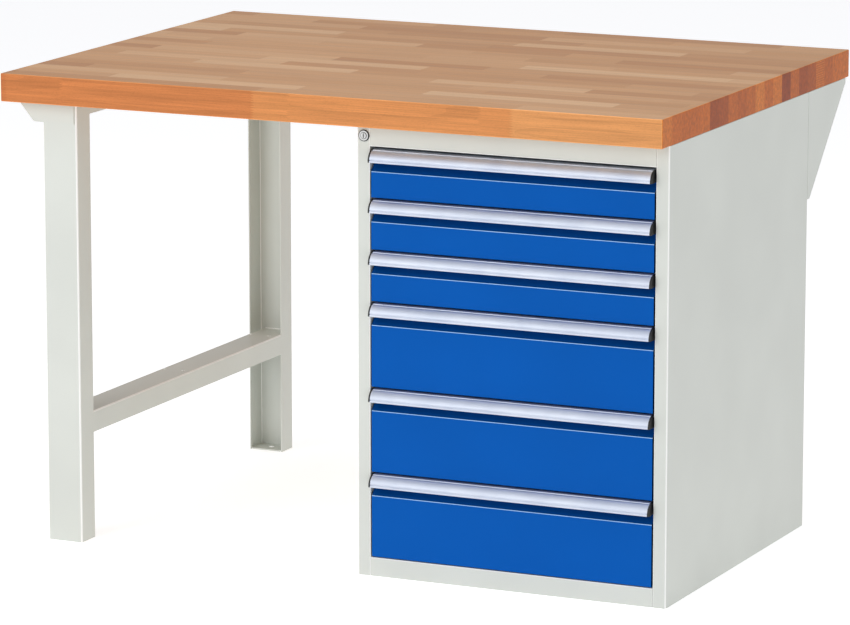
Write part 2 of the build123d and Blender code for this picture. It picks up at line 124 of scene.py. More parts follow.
# %% Hang the soft boxes
def soft_box(name, place, aim, width, height, power):
    """A rectangular light that faces the aim, with its power in watts."""
    lamp = bpy.data.lights.new(name, "AREA")
    lamp.shape = "RECTANGLE"
    lamp.size, lamp.size_y = width, height
    lamp.energy = power
    box = bpy.data.objects.new(name, lamp)
    box.location = place
    box.rotation_mode = "QUATERNION"
    box.rotation_quaternion = (Vector(aim) - Vector(place)).to_track_quat("-Z", "Y")
    scene.collection.objects.link(box)


soft_box("key_light", place=(-2.2, -4.6, 2.6), aim=(0, 0, 0.45), width=3.0, height=2.4, power=74)
soft_box("top_light", place=(0.2, -0.4, 3.6), aim=(0, 0, 0.5), width=3.0, height=3.0, power=38)

# %% [markdown]
# ## Floor
# One pale sheet, so wide that the camera never sees its end. It isn't part of the bench. A grey floor would
# need far more light to look white, and that light would bleach the bench, so the sheet glows a little by
# itself and only the soft shadow at the feet shows that it is there.

# %% Lay the floor
floor_half = 14
floor_mesh = bpy.data.meshes.new("floor")
corners = [(-floor_half, -floor_half, 0), (floor_half, -floor_half, 0),
           (floor_half, floor_half, 0), (-floor_half, floor_half, 0)]
floor_mesh.from_pydata(corners, [], [(0, 1, 2, 3)])
floor = bpy.data.objects.new("floor", floor_mesh)
scene.collection.objects.link(floor)
floor_paint = bpy.data.materials.new("floor_paint")
floor_paint.use_nodes = True
floor_surface = floor_paint.node_tree.nodes["Principled BSDF"].inputs
floor_surface["Base Color"].default_value = (0.90, 0.90, 0.90, 1)
floor_surface["Roughness"].default_value = 0.9
floor_surface["Specular IOR Level"].default_value = 0.0
floor_surface["Emission Color"].default_value = (1, 1, 1, 1)
floor_surface["Emission Strength"].default_value = 0.55
floor.data.materials.append(floor_paint)
print("floor", 2 * floor_half, "m square")

# %% [markdown]
# ## A short way to write nodes
# Shader trees and geometry trees are built the same way: add a node, set its properties, then fill its
# inputs with numbers or with links. They could be drawn by hand in the node editor, but a tree in a script
# can be read, compared and rebuilt. `add` puts in any node, the next few helpers put in the nodes that are
# used most, and `new_group` opens a node group with named sockets.


# %% Helpers for single nodes
def add(tree, kind, inputs=None, **settings):
    """Adds a node, sets its properties, and fills its inputs with values or links."""
    node = tree.nodes.new(kind)
    for name, value in settings.items():
        setattr(node, name, value)
    for key, value in (inputs or {}).items():
        if isinstance(value, bpy.types.NodeSocket):
            tree.links.new(value, node.inputs[key])
        else:
            node.inputs[key].default_value = value
    return node


def calc(tree, operation, a, b=0.0, c=0.0):
    """One sum with numbers."""
    return add(tree, "ShaderNodeMath", {0: a, 1: b, 2: c}, operation=operation).outputs[0]


def vector_calc(tree, operation, a, b=(0, 0, 0)):
    """One sum with vectors; a length comes out as a number."""
    node = add(tree, "ShaderNodeVectorMath", {0: a, 1: b}, operation=operation)
    return node.outputs["Value" if operation == "LENGTH" else "Vector"]


def parts_of(tree, vector):
    """The x, y and z of a vector."""
    return add(tree, "ShaderNodeSeparateXYZ", {0: vector}).outputs


def spread(tree, value, low, high, first=0.0, last=1.0, **settings):
    """A value that runs from low to high, stretched to run from first to last and held at both ends."""
    inputs = {"Value": value, 1: low, 2: high, 3: first, 4: last}  # from min and max, to min and max
    return add(tree, "ShaderNodeMapRange", inputs, **settings).outputs[0]


def mix(tree, share, first, second, blend="MIX"):
    """Two colours blended, with a share of the second."""
    inputs = {"Factor": share, 6: first, 7: second}  # this node's colours are its inputs 6 and 7
    return add(tree, "ShaderNodeMix", inputs, data_type="RGBA", blend_type=blend).outputs[2]


def pick(tree, share, first, second):
    """The first of two numbers where the share is 0, and the second where it is 1."""
    return add(tree, "ShaderNodeMix", {"Factor": share, 2: first, 3: second}).outputs[0]


def noise(tree, place, scale, detail):
    """A soft random pattern from 0 to 1."""
    return add(tree, "ShaderNodeTexNoise", {"Vector": place, "Scale": scale, "Detail": detail}).outputs["Fac"]


def bump(tree, height, distance):
    """Turns a height into a tilt of the surface's normal."""
    return add(tree, "ShaderNodeBump", {"Height": height, "Distance": distance}).outputs["Normal"]


print("helpers for nodes ready")


# %% Helpers for groups and materials
def object_place(tree):
    """Where a point lies on the bench, in metres."""
    return add(tree, "ShaderNodeTexCoord").outputs["Object"]


def facing(tree):
    """How far a surface faces along x, y and z, how far it turns between them, and how far it faces up."""
    normal = add(tree, "ShaderNodeNewGeometry").outputs["Normal"]
    x, y, z = parts_of(tree, vector_calc(tree, "ABSOLUTE", normal))
    between = calc(tree, "ADD", calc(tree, "MULTIPLY", y, calc(tree, "ADD", x, z)),
                   calc(tree, "MULTIPLY", z, x))
    return x, y, z, between, parts_of(tree, normal)[2]


def wire(tree, sockets, sources):
    """Links results to the sockets of the same names."""
    for title, source in sources.items():
        tree.links.new(source, sockets[title])


def new_group(name, kind, inputs, outputs):
    """A node group with named sockets. An input is given by its value, or by its kind if it has none."""
    tree = bpy.data.node_groups.new(name, kind)
    for title, value in inputs.items():
        has_value = not isinstance(value, str)
        sort = ("Vector" if isinstance(value, tuple) else "Float") if has_value else value
        socket = tree.interface.new_socket(name=title, in_out="INPUT", socket_type="NodeSocket" + sort)
        if has_value:
            socket.default_value = value
    for title, sort in outputs.items():
        tree.interface.new_socket(name=title, in_out="OUTPUT", socket_type="NodeSocket" + sort)
    print(name, "takes", list(inputs), "and gives", list(outputs))
    return tree, tree.nodes.new("NodeGroupInput").outputs, tree.nodes.new("NodeGroupOutput").inputs


def new_material(name, roughness, metallic=0.0, specular=0.5):
    """A material with one Principled shader; returns the material, its tree and the shader's inputs."""
    material = bpy.data.materials.new(name)
    material.use_nodes = True
    surface = material.node_tree.nodes["Principled BSDF"].inputs
    surface["Roughness"].default_value = roughness
    surface["Metallic"].default_value = metallic
    surface["Specular IOR Level"].default_value = specular
    return material, material.node_tree, surface


print("helpers for groups and materials ready")

# %% [markdown]
# ## Powder coat
# Steel furniture is dusted with dry paint and baked. The film melts into a skin with a faint orange peel,
# about a millimetre from crest to crest. Scanned paint could be laid over each face, but it would repeat and
# stretch. Two noises don't: a fine one drives a bump, and a slow one varies the tone by a percent or two.
#
# The group also finds four places from the surface's normal alone. On flat sheet one part of the normal is 1
# and the others are 0, and only round a fold do two of them share. A drawer's front is bent back to a sloping
# finger recess. The paints put light and shade there as colour: a painted highlight along the folds and the
# crease, and painted shade on the slope behind the handle and on the front's ends beside the gap.

# %% Build the powder coat group
peel_size = 1.1 * mm
powder_coat, given, result = new_group(
    "powder_coat", "ShaderNodeTree", {"Peel Size": peel_size, "Cloud Scale": 5.0},
    {"Height": "Float", "Tone": "Float", "Fold": "Float", "Crease": "Float", "Recess": "Float",
     "Beside": "Float"})
place = object_place(powder_coat)
peel = noise(powder_coat, place, calc(powder_coat, "DIVIDE", 1.0, given["Peel Size"]), 1.5)
cloud = noise(powder_coat, place, given["Cloud Scale"], 2.0)
sideways, _, _, between, upward = facing(powder_coat)


def band(low, start, end, high):
    """1 where a face slopes up by start to end, and 0 below low and above high."""
    rise = spread(powder_coat, upward, low, start)
    fall = spread(powder_coat, upward, end, high, 1.0, 0.0)
    return calc(powder_coat, "MULTIPLY", rise, fall)


# Fold and Crease mark where a painted highlight goes, Recess and Beside where painted shade goes.
wire(powder_coat, result, {
    "Height": peel, "Tone": cloud, "Fold": spread(powder_coat, between, 0.12, 0.36),
    "Crease": band(0.08, 0.2, 0.6, 0.69), "Recess": band(0.62, 0.69, 0.75, 0.85),
    "Beside": spread(powder_coat, sideways, 0.8, 0.95)})
print("powder coat has", len(powder_coat.nodes), "nodes")


# %% Mix the grey and the blue powder coat
def painted(name, colour, bright, highlight_mask, roughness, specular, recess_shade=0.0, gap_shade=0.0):
    """Powder-coated steel: a painted highlight on one mask, painted shade in the recess and by a gap."""
    material, tree, surface = new_material(name, roughness, specular=specular)
    coat = add(tree, "ShaderNodeGroup", {"Peel Size": peel_size, "Cloud Scale": 5.0},
               node_tree=powder_coat).outputs
    clouded = mix(tree, 1.0, colour, spread(tree, coat["Tone"], 0.3, 0.7, 0.965, 1.03), "MULTIPLY")
    # Painted shade on the sloping recess behind the handle.
    in_recess = calc(tree, "MULTIPLY_ADD", coat["Recess"], -recess_shade, 1.0)
    # Painted shade on the front's ends, which stand beside the gap to the stiles.
    in_gap = calc(tree, "MULTIPLY_ADD", coat["Beside"], -gap_shade, 1.0)
    shaded_colour = mix(tree, 1.0, clouded, calc(tree, "MULTIPLY", in_recess, in_gap), "MULTIPLY")
    wire(tree, surface, {
        "Base Color": mix(tree, coat[highlight_mask], shaded_colour, bright),
        "Roughness": spread(tree, coat["Height"], 0.3, 0.7, roughness - 0.04, roughness + 0.05),
        "Normal": bump(tree, coat["Height"], 0.05 * mm)})
    return material


# Each paint's second colour is the painted highlight on its folds or on its crease.
grey_paint = painted("grey_powder_coat", srgb(212, 215, 208), srgb(252, 252, 249), "Fold", roughness=0.42,
                     specular=0.35)
blue_paint = painted("blue_powder_coat", srgb(0, 87, 175), srgb(175, 216, 255), "Crease", roughness=0.36,
                     specular=0.06, recess_shade=0.42, gap_shade=0.9)
print("paints", grey_paint.name, blue_paint.name)

# %% [markdown]
# ## Drawn metal
# Anodised aluminium keeps faint lines from its die, and zinc-plated steel keeps them from the rolls. The
# shader's own anisotropy could stretch the highlights, but it draws no lines. A noise that is stretched a
# hundredfold along one direction does, and since the group takes the stretch as a vector, the same group
# serves strips that run across the bench and rails that run to its back.

# %% Build the drawn metal group
drawn_metal, given, result = new_group(
    "drawn_metal", "ShaderNodeTree", {"Stretch": (20, 2500, 2500), "Blotch Size": 0.02},
    {"Lines": "Float", "Blotches": "Float"})
place = object_place(drawn_metal)
wire(drawn_metal, result, {
    "Lines": noise(drawn_metal, vector_calc(drawn_metal, "MULTIPLY", place, given["Stretch"]), 1.0, 2.0),
    "Blotches": noise(drawn_metal, place, calc(drawn_metal, "DIVIDE", 1.0, given["Blotch Size"]), 3.0)})
print("drawn metal has", len(drawn_metal.nodes), "nodes")


# %% Mix aluminium and zinc
def metal(name, dark, light, roughness, stretch, blotch_size):
    """A metal whose colour and gloss vary with its lines and blotches."""
    material, tree, surface = new_material(name, roughness, metallic=1.0)
    drawn = add(tree, "ShaderNodeGroup", {"Stretch": stretch, "Blotch Size": blotch_size},
                node_tree=drawn_metal).outputs
    wire(tree, surface, {
        "Base Color": mix(tree, spread(tree, drawn["Blotches"], 0.3, 0.7), dark, light),
        "Roughness": spread(tree, drawn["Lines"], 0.25, 0.75, roughness - 0.06, roughness + 0.08),
        "Normal": bump(tree, drawn["Lines"], 0.02 * mm)})
    return material


aluminium = metal("anodised_aluminium", srgb(202, 209, 223), srgb(214, 220, 231), roughness=0.56,
                  stretch=(12, 2600, 2600), blotch_size=0.05)
zinc = metal("zinc_plated_steel", srgb(188, 191, 194), srgb(206, 208, 210), roughness=0.4,
             stretch=(900, 30, 900), blotch_size=0.03)
print("metals", aluminium.name, zinc.name)

# %% [markdown]
# ## Lock
# The lock is turned from brass and plated. Its rim is chamfered, a ring of shadow parts the plug from the
# barrel, and the key slot lies in shade. All three are painted shade, a near-black colour on the rim, in the
# ring and inside the slot, since at arm's length light alone no longer shows them. They could be three
# materials on three sets of faces, but one finish that measures how far a point is from the lock's axis and
# how deep it lies needs no faces to be picked.

# %% Finish the lock
plug_low, plug_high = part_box("lock_plug")
plug_radius = 5.5 * mm
lock_metal, tree, surface = new_material("lock_nickel", 0.34, metallic=1.0)
place = object_place(tree)
from_axis = vector_calc(tree, "SUBTRACT", place, (plug_low + plug_high) / 2)
on_face = vector_calc(tree, "MULTIPLY", from_axis, (1, 0, 1))
radius = vector_calc(tree, "LENGTH", on_face)
depth = parts_of(tree, place)[1]
rim = spread(tree, radius, 8.3 * mm, 9.0 * mm)
ring = calc(tree, "MULTIPLY", spread(tree, radius, plug_radius - 0.6 * mm, plug_radius - 0.2 * mm),
            spread(tree, radius, plug_radius + 0.2 * mm, plug_radius + 0.6 * mm, 1.0, 0.0))
sunk = spread(tree, depth, plug_low.y + 0.1 * mm, plug_low.y + 0.6 * mm)
key_slot = calc(tree, "MULTIPLY", sunk, calc(tree, "LESS_THAN", radius, plug_radius - 0.5 * mm))
# The rim, the ring round the plug and the key slot get painted shade in a near-black colour.
dark = calc(tree, "MAXIMUM", rim, calc(tree, "MAXIMUM", ring, key_slot))
turned = add(tree, "ShaderNodeTexWave", {"Vector": on_face, "Scale": 900.0, "Distortion": 0.4},
             wave_type="RINGS", rings_direction="SPHERICAL").outputs["Fac"]
plate = mix(tree, turned, srgb(188, 189, 188), srgb(214, 214, 212))
wire(tree, surface, {"Base Color": mix(tree, dark, plate, srgb(38, 38, 40)),
                     "Normal": bump(tree, turned, 0.02 * mm)})
print("lock finish has", len(tree.nodes), "nodes")

# %% [markdown]
# ## Moulded plastic
# The handle's end caps are injection moulded. The mould is spark-eroded, which leaves a fine even grain.
# Grain this fine could be modelled only with millions of faces, so a small noise in the bump and a little
# spread in the gloss stand for it.

# %% Mix the black plastic
plastic_colour, plastic_roughness, mould_grain = srgb(11, 11, 13), 0.5, 0.5 * mm
black_plastic, tree, surface = new_material("black_plastic", plastic_roughness)
grains = noise(tree, object_place(tree), 1 / mould_grain, 2.0)
crest_colour = tuple(1.6 * channel + 0.004 for channel in plastic_colour[:3]) + (1.0,)
wire(tree, surface, {
    "Base Color": mix(tree, grains, plastic_colour, crest_colour),
    "Roughness": spread(tree, grains, 0.0, 1.0, plastic_roughness - 0.08, plastic_roughness + 0.08),
    "Normal": bump(tree, grains, 0.03 * mm)})
print("plastic", black_plastic.name)

# %% [markdown]
# ## Beech staves
# The board is glued from staves of steamed beech about 43 mm wide, set side by side and end to end, with
# finger joints where one ends and the next begins. Each stave could be a solid of its own, but the real board
# is sanded and oiled as one, so it stays one solid and its staves follow from a point's place in the board.
# The row is the place across divided by a stave's width. The stave within the row is the cell of a
# one-dimensional Voronoi pattern, whose cells have the uneven lengths that real offcuts have. Only the row
# along the front edge has staves of one length, with its joints at chosen places. The finger joint is a
# zigzag in height, so it shows as a comb on the edges and as a straight line on the top.

# %% Build the stave group
board_low, board_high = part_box("worktop")
stave_rows = 21
stave_width = (board_high.y - board_low.y) / stave_rows
row_start = 7.37  # how far each row's pattern starts from that of the row before, in staves
glue_seam, glue_joint = 0.4 * mm, 0.5 * mm
staves, given, result = new_group(
    "staves", "ShaderNodeTree",
    {"Front": 0.0, "Stave Width": 43 * mm, "Stave Length": 0.4, "Tooth Depth": 8 * mm,
     "Tooth Pitch": 4 * mm, "First Front Joint": 0.0, "Front Stave Length": 0.5},
    {"Tone": "Float", "Seam": "Float", "Joint": "Float", "Own Place": "Vector"})
place = object_place(staves)
along, across, up = parts_of(staves, place)
rows = calc(staves, "DIVIDE", calc(staves, "SUBTRACT", across, given["Front"]), given["Stave Width"])
in_front = calc(staves, "LESS_THAN", rows, 1.0)
half_pitch = calc(staves, "MULTIPLY", given["Tooth Pitch"], 0.5)
tooth = calc(staves, "DIVIDE", calc(staves, "PINGPONG", up, half_pitch), half_pitch)
toothed = calc(staves, "MULTIPLY_ADD", tooth, given["Tooth Depth"], along)
run = calc(staves, "MULTIPLY_ADD", calc(staves, "FLOOR", rows), row_start,
           calc(staves, "DIVIDE", toothed, given["Stave Length"]))
cells = {"W": run, "Scale": 1.0, "Randomness": 0.9}
random_colour = add(staves, "ShaderNodeTexVoronoi", cells, voronoi_dimensions="1D").outputs["Color"]
to_end = add(staves, "ShaderNodeTexVoronoi", cells, voronoi_dimensions="1D",
             feature="DISTANCE_TO_EDGE").outputs["Distance"]
print("rows", stave_rows, "of", round(stave_width / mm, 1), "mm")

# %% Tell the front row's staves, the seams and the joints
random_tone = add(staves, "ShaderNodeSeparateColor", {0: random_colour}).outputs[0]
front_run = calc(staves, "DIVIDE", calc(staves, "SUBTRACT", toothed, given["First Front Joint"]),
                 given["Front Stave Length"])
front_tone = calc(staves, "MULTIPLY_ADD", calc(staves, "FLOOR", front_run), 0.3, 0.45)
row_distance = calc(staves, "MULTIPLY", to_end, given["Stave Length"])
front_distance = calc(staves, "MULTIPLY", calc(staves, "PINGPONG", front_run, 0.5),
                      given["Front Stave Length"])
end_distance = pick(staves, in_front, row_distance, front_distance)
side_distance = calc(staves, "MULTIPLY", calc(staves, "PINGPONG", rows, 0.5), given["Stave Width"])
shift = vector_calc(staves, "MULTIPLY", random_colour, (9.0, 0.16, 0.16))
wire(staves, result, {
    "Tone": pick(staves, in_front, random_tone, front_tone),
    "Seam": spread(staves, side_distance, 0.0, glue_seam, 1.0, 0.0),
    "Joint": spread(staves, end_distance, 0.0, glue_joint, 1.0, 0.0),
    "Own Place": vector_calc(staves, "ADD", place, shift)})
print("staves have", len(staves.nodes), "nodes")

# %% [markdown]
# ## Beech grain
# A stave is a stick sawn from a log, so its growth rings are circles round a pith that lies outside it. The
# faces and the end grain could have a pattern each, but they would never meet at the edges. Circles in space
# draw stripes along the faces and arcs on the end grain with nothing to line up by hand, and each stave gets
# a pith of its own. Fibres and broader streaks are noises stretched along the stave, the small dark flecks
# are beech's rays, and the mottle is for the end grain, which drinks the oil unevenly.

# %% Build the grain group
pith_offset = (0, -0.06, -0.87)
ring_waver = 13 * mm
grain, given, result = new_group(
    "beech_grain", "ShaderNodeTree", {"Place": (0, 0, 0), "Ring Width": 3 * mm},
    {"Rings": "Float", "Fibres": "Float", "Flecks": "Float", "Streaks": "Float", "Mottle": "Float"})


def stretched_noise(stretch, detail):
    """A noise in the stave's own place, squeezed by a factor along each axis."""
    return noise(grain, vector_calc(grain, "MULTIPLY", given["Place"], stretch), 1.0, detail)


from_pith = vector_calc(grain, "ADD", given["Place"], pith_offset)
distance = vector_calc(grain, "LENGTH", vector_calc(grain, "MULTIPLY", from_pith, (0, 1, 1)))
wavering = calc(grain, "MULTIPLY_ADD", stretched_noise((1.6, 14, 14), 2.0), ring_waver, distance)
in_ring = calc(grain, "FRACT", calc(grain, "DIVIDE", wavering, given["Ring Width"]))
wire(grain, result, {
    "Rings": spread(grain, in_ring, 0.35, 1.0, interpolation_type="SMOOTHSTEP"),
    "Fibres": stretched_noise((9, 430, 430), 4.0),
    "Flecks": spread(grain, stretched_noise((260, 1900, 1900), 0.0), 0.62, 0.70),
    "Streaks": stretched_noise((5, 170, 170), 2.0),
    "Mottle": noise(grain, given["Place"], 130.0, 4.0)})
print("grain has", len(grain.nodes), "nodes")

# %% [markdown]
# ## Oiled board
# Oil darkens end grain most, and the finish gives the top the palest ramp of wood colours. Three materials
# could be given to three sets of faces, but the board's corners are rounded, so the finish blends three ramps
# of wood colours by the way a point faces. A stave's tone picks its place on the ramps, and everything that
# the two groups found then darkens or brightens it by a few percent. A painted highlight also brightens the
# rounded corners.

# %% Colour the staves
beech, tree, surface = new_material("oiled_beech", 0.4, specular=0.22)
stave = add(tree, "ShaderNodeGroup", {
    "Front": board_low.y, "Stave Width": stave_width, "Stave Length": 0.36, "Tooth Depth": 8 * mm,
    "Tooth Pitch": 4.2 * mm, "First Front Joint": -0.128, "Front Stave Length": 0.484},
    node_tree=staves).outputs
wood = add(tree, "ShaderNodeGroup", {"Place": stave["Own Place"], "Ring Width": 3.2 * mm},
           node_tree=grain).outputs
to_end_face, _, to_top, between, _ = facing(tree)
on_top = spread(tree, to_top, 0.5, 0.9)
on_end = spread(tree, to_end_face, 0.5, 0.9)


def tone_ramp(*colours):
    """A ramp through a few wood colours, from the darkest stave to the lightest."""
    ramp = add(tree, "ShaderNodeValToRGB", {"Fac": stave["Tone"]})
    tones, last = ramp.color_ramp.elements, len(colours) - 1
    for number in range(1, last):
        tones.new(number / last)
    for tone, colour in zip(tones, colours):
        tone.color = colour
    return ramp.outputs["Color"]


face_wood = tone_ramp(srgb(190, 134, 86), srgb(203, 150, 101), srgb(210, 159, 111), srgb(222, 178, 133))
edge_wood = tone_ramp(srgb(208, 122, 66), srgb(222, 142, 80), srgb(230, 156, 92), srgb(238, 170, 106))
end_wood = tone_ramp(srgb(142, 56, 0), srgb(186, 92, 12), srgb(202, 106, 22), srgb(220, 132, 46))
timber = mix(tree, on_end, mix(tree, on_top, edge_wood, face_wood), end_wood)
print("beech tones from", [round(c, 2) for c in srgb(190, 134, 86)[:3]], "on the top")

# %% Shade the grain and finish in oil
rings_dark = calc(tree, "MULTIPLY_ADD", on_end, -0.14, 0.93)  # end grain shows its rings more
seam_tone = calc(tree, "MULTIPLY_ADD", on_end, 0.34, -0.14)  # dark glue lines, pale on end grain
blotch = calc(tree, "MULTIPLY", calc(tree, "SUBTRACT", wood["Mottle"], 0.5), on_end)
# Painted highlight: the rounded corners are made up to 22 percent brighter.
shade = spread(tree, between, 0.12, 0.4, 1.0, 1.22)  # rounded corners catch the light
for factor in (
        spread(tree, wood["Rings"], 0.0, 1.0, 1.03, rings_dark),
        spread(tree, wood["Fibres"], 0.25, 0.75, 0.86, 1.13),
        spread(tree, wood["Streaks"], 0.25, 0.75, 0.92, 1.07),
        calc(tree, "MULTIPLY_ADD", wood["Flecks"], -0.12, 1.0),
        calc(tree, "MULTIPLY_ADD", stave["Seam"], seam_tone, 1.0),
        calc(tree, "MULTIPLY_ADD", stave["Joint"], -0.20, 1.0),
        calc(tree, "MULTIPLY_ADD", blotch, 0.9, 1.0)):
    shade = calc(tree, "MULTIPLY", shade, factor)
relief = calc(tree, "ADD", wood["Fibres"], calc(tree, "MULTIPLY", stave["Seam"], -1.5))
wire(tree, surface, {"Base Color": mix(tree, 1.0, timber, shade, "MULTIPLY"),
                     "Roughness": spread(tree, wood["Fibres"], 0.25, 0.75, 0.36, 0.5),
                     "Normal": bump(tree, relief, 0.04 * mm)})
print("beech has", len(tree.nodes), "nodes")

# %% [markdown]
# ## Finishes for the engineering parts
# Parts whose shape is already right stay as they are and only change their finish. Every sheet of the chest,
# the legs and the drawer boxes is painted grey, so grey is what a part gets unless its name says otherwise.

# %% Dress the parts
finishes = {"worktop": beech, "lock_barrel": lock_metal, "lock_plug": lock_metal, "slide_uprights": zinc,
            "slide_outer_rails": zinc, "cabinet_screws": zinc, "leg_screws": zinc, "lock_bar": zinc,
            "lock_cam": zinc, "lock_bar_guides": zinc}
for number in drawer_numbers:
    finishes[f"drawer_{number}_front"] = blue_paint
    finishes[f"drawer_{number}_handle"] = aluminium
    finishes[f"drawer_{number}_handle_caps"] = black_plastic
    finishes[f"drawer_{number}_inner_slides"] = zinc
    finishes[f"drawer_{number}_middle_slides"] = zinc
for name, part in cad_nodes.items():
    part.data.materials.clear()
    part.data.materials.append(finishes.get(name, grey_paint))
print("dressed", len(cad_nodes), "parts,", len(finishes), "of them not in grey")

# %% [markdown]
# ## Pieces that are grown
# Some pieces are made by a rule, such as a section pushed along a line, or one rivet set at many places. They
# could be copied by hand, but a rule keeps them all alike and follows any change of the bench. Each rule is a
# geometry node tree. `grow` gives a tree its points and lines, sets its inputs, keeps the plain mesh that
# comes out and drops the tree, so that every piece is an ordinary closed mesh on its own body.


# %% Helpers for grown pieces
def new_tree(name, inputs):
    """A geometry tree with a material input; returns the tree, its inputs and its output node's inputs."""
    return new_group(name, "GeometryNodeTree", {"Geometry": "Geometry", "Material": "Material", **inputs},
                     {"Geometry": "Geometry"})


def close_tree(tree, result, geometry, material):
    """Ends a tree: real geometry with its material."""
    real = add(tree, "GeometryNodeRealizeInstances", {0: geometry})
    dressed = add(tree, "GeometryNodeSetMaterial", {"Geometry": real.outputs[0], "Material": material})
    wire(tree, result, {"Geometry": dressed.outputs[0]})
    print(tree.name, "tree has", len(tree.nodes), "nodes")


def lines_object(name, points, edges):
    """An object made of points and edges only, for a tree to read."""
    mesh = bpy.data.meshes.new(name)
    mesh.from_pydata(points, edges, [])
    helper = bpy.data.objects.new(name, mesh)
    scene.collection.objects.link(helper)
    return helper


def grow(name, tree, points, edges, settings, body, slot, *nodes):
    """Runs a tree once and keeps its mesh as a piece of a body, in place of some engineering parts."""
    seed = lines_object(name + "_seed", points, edges)
    modifier = seed.modifiers.new("grow", "NODES")
    modifier.node_group = tree
    for socket in tree.interface.items_tree:
        if socket.in_out == "INPUT" and socket.name in settings:
            modifier[socket.identifier] = settings[socket.name]
    bpy.context.view_layer.update()
    mesh = bpy.data.meshes.new_from_object(seed.evaluated_get(bpy.context.evaluated_depsgraph_get()))
    seed.modifiers.remove(modifier)
    bpy.data.objects.remove(seed)
    shell = bmesh.new()
    shell.from_mesh(mesh)
    bmesh.ops.recalc_face_normals(shell, faces=shell.faces)
    open_edges = sum(not e.is_manifold for e in shell.edges)
    shell.to_mesh(mesh)
    shell.free()
    piece = bpy.data.objects.new(name, mesh)
    scene.collection.objects.link(piece)
    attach(piece, body)
    if nodes:
        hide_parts(*nodes)
    print(name, len(mesh.polygons), "faces,", open_edges, "open edges")


print("helpers for grown pieces ready")

# %% [markdown]
# ## Handle strips and their end caps
# The strip is an extruded aluminium section: a quarter round to pull on, two fine grooves, a flat top and a
# flange that is riveted to the front. It could be built up from boxes and a cylinder, but the real one is
# pushed through a die and sawn to length, so the tree does the same with a section and a line. Sawn and
# moulded corners are never sharp, so the section's corners get a fillet, which is what catches the light
# along the lip.

# %% Build the sweep tree
sweep, given, result = new_tree("sweep", {"Section": "Object", "Fillet": 0.3 * mm})
section = add(sweep, "GeometryNodeObjectInfo", {"Object": given["Section"]})
outline = add(sweep, "GeometryNodeMeshToCurve", {0: section.outputs["Geometry"]})
softened = add(sweep, "GeometryNodeFilletCurve",
               {"Curve": outline.outputs[0], "Radius": given["Fillet"], "Limit Radius": True})
path = add(sweep, "GeometryNodeMeshToCurve", {0: given["Geometry"]})
swept = add(sweep, "GeometryNodeCurveToMesh",
            {"Curve": path.outputs[0], "Profile Curve": softened.outputs[0], "Fill Caps": True})
close_tree(sweep, result, swept.outputs[0], given["Material"])


# %% Draw the section of the strip
pull_radius, strip_wall, lip = 20.5 * mm, 2 * mm, 1 * mm
flat_behind = 1.2 * mm  # how far the flat top goes on behind the flange
groove_angles, groove_width, groove_depth = (171, 113), 2.0 * mm, 1.1 * mm
facet = 7  # degrees of the quarter round that one flat stretch may take


def arc(centre, radius, start, end, steps):
    """Points of an arc in the section, as (y, z), from one angle to another in degrees."""
    angles = [radians(start + (end - start) * i / steps) for i in range(steps + 1)]
    return [(centre[0] + radius * cos(a), centre[1] + radius * sin(a)) for a in angles]


def grooved_arc(centre):
    """The quarter round from its lip to its top, with its fine grooves."""
    points, start = [], 180.0
    half = groove_width / pull_radius * 90 / pi
    for at in groove_angles:
        points += arc(centre, pull_radius, start, at + half, max(2, round((start - at) / facet)))
        points += arc(centre, pull_radius - groove_depth, at + half / 2, at - half / 2, 1)
        start = at - half
    return points + arc(centre, pull_radius, start, 90, max(2, round((start - 90) / facet)))


def strip_section(low, high):
    """The strip's section between the corners of the engineering strip's box."""
    centre = (low.y + pull_radius, high.z - pull_radius)
    flange = high.y - flat_behind
    outer = [(low.y, centre[1] - lip)] + grooved_arc(centre)
    back = [(high.y, high.z), (high.y, high.z - strip_wall), (flange, high.z - strip_wall), (flange, low.z),
            (flange - strip_wall, low.z), (flange - strip_wall, high.z - strip_wall)]
    inner = arc(centre, pull_radius - strip_wall, 90, 180, 10)
    return outer + back + inner + [(low.y + strip_wall, centre[1] - lip)]


def section_object(name, outline):
    """A closed section; its plane is turned so that a sweep along +X sets it upright."""
    count = len(outline)
    edges = [(i, (i + 1) % count) for i in range(count)]
    return lines_object(name, [(-y, -z, 0) for y, z in outline], edges)


print("the strip's section has", len(strip_section(*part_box("drawer_1_handle"))), "corners")

# %% Sweep the strips and their caps
cap_thickness = 3 * mm
for number in drawer_numbers:
    low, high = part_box(f"drawer_{number}_handle")
    section = section_object("strip_section", strip_section(low, high))
    grow(f"drawer_{number}_pull_strip", sweep, [(low.x, 0, 0), (high.x, 0, 0)], [(0, 1)],
         {"Material": aluminium, "Section": section, "Fillet": 0.25 * mm}, f"drawer_{number}",
         "anodised_aluminium", f"drawer_{number}_handle")
    bpy.data.objects.remove(section)
    low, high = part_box(f"drawer_{number}_handle_caps")
    centre = (low.y + pull_radius, high.z - pull_radius)
    cap_outline = ([(low.y, low.z)] + arc(centre, pull_radius, 180, 90, 14)
                   + [(high.y, high.z), (high.y, low.z)])
    section = section_object("cap_section", cap_outline)
    ends = (low.x, low.x + cap_thickness, high.x - cap_thickness, high.x)
    grow(f"drawer_{number}_strip_caps", sweep, [(x, 0, 0) for x in ends], [(0, 1), (2, 3)],
         {"Material": black_plastic, "Section": section, "Fillet": 0.8 * mm}, f"drawer_{number}",
         "black_plastic", f"drawer_{number}_handle_caps")
    bpy.data.objects.remove(section)

# %% [markdown]
# ## Cross-head screws under the board
# Pan-head wood screws, driven from below, hold the board to the chest and the leg frame. A pressed head has
# a cross recess. It could be drawn as a dark cross on the head, but it would look flat from close by, so the
# tree cuts two slots out of one head, adds the shank, and sets the finished screw at every hole. The places
# are read off the engineering screws, which have plain heads.

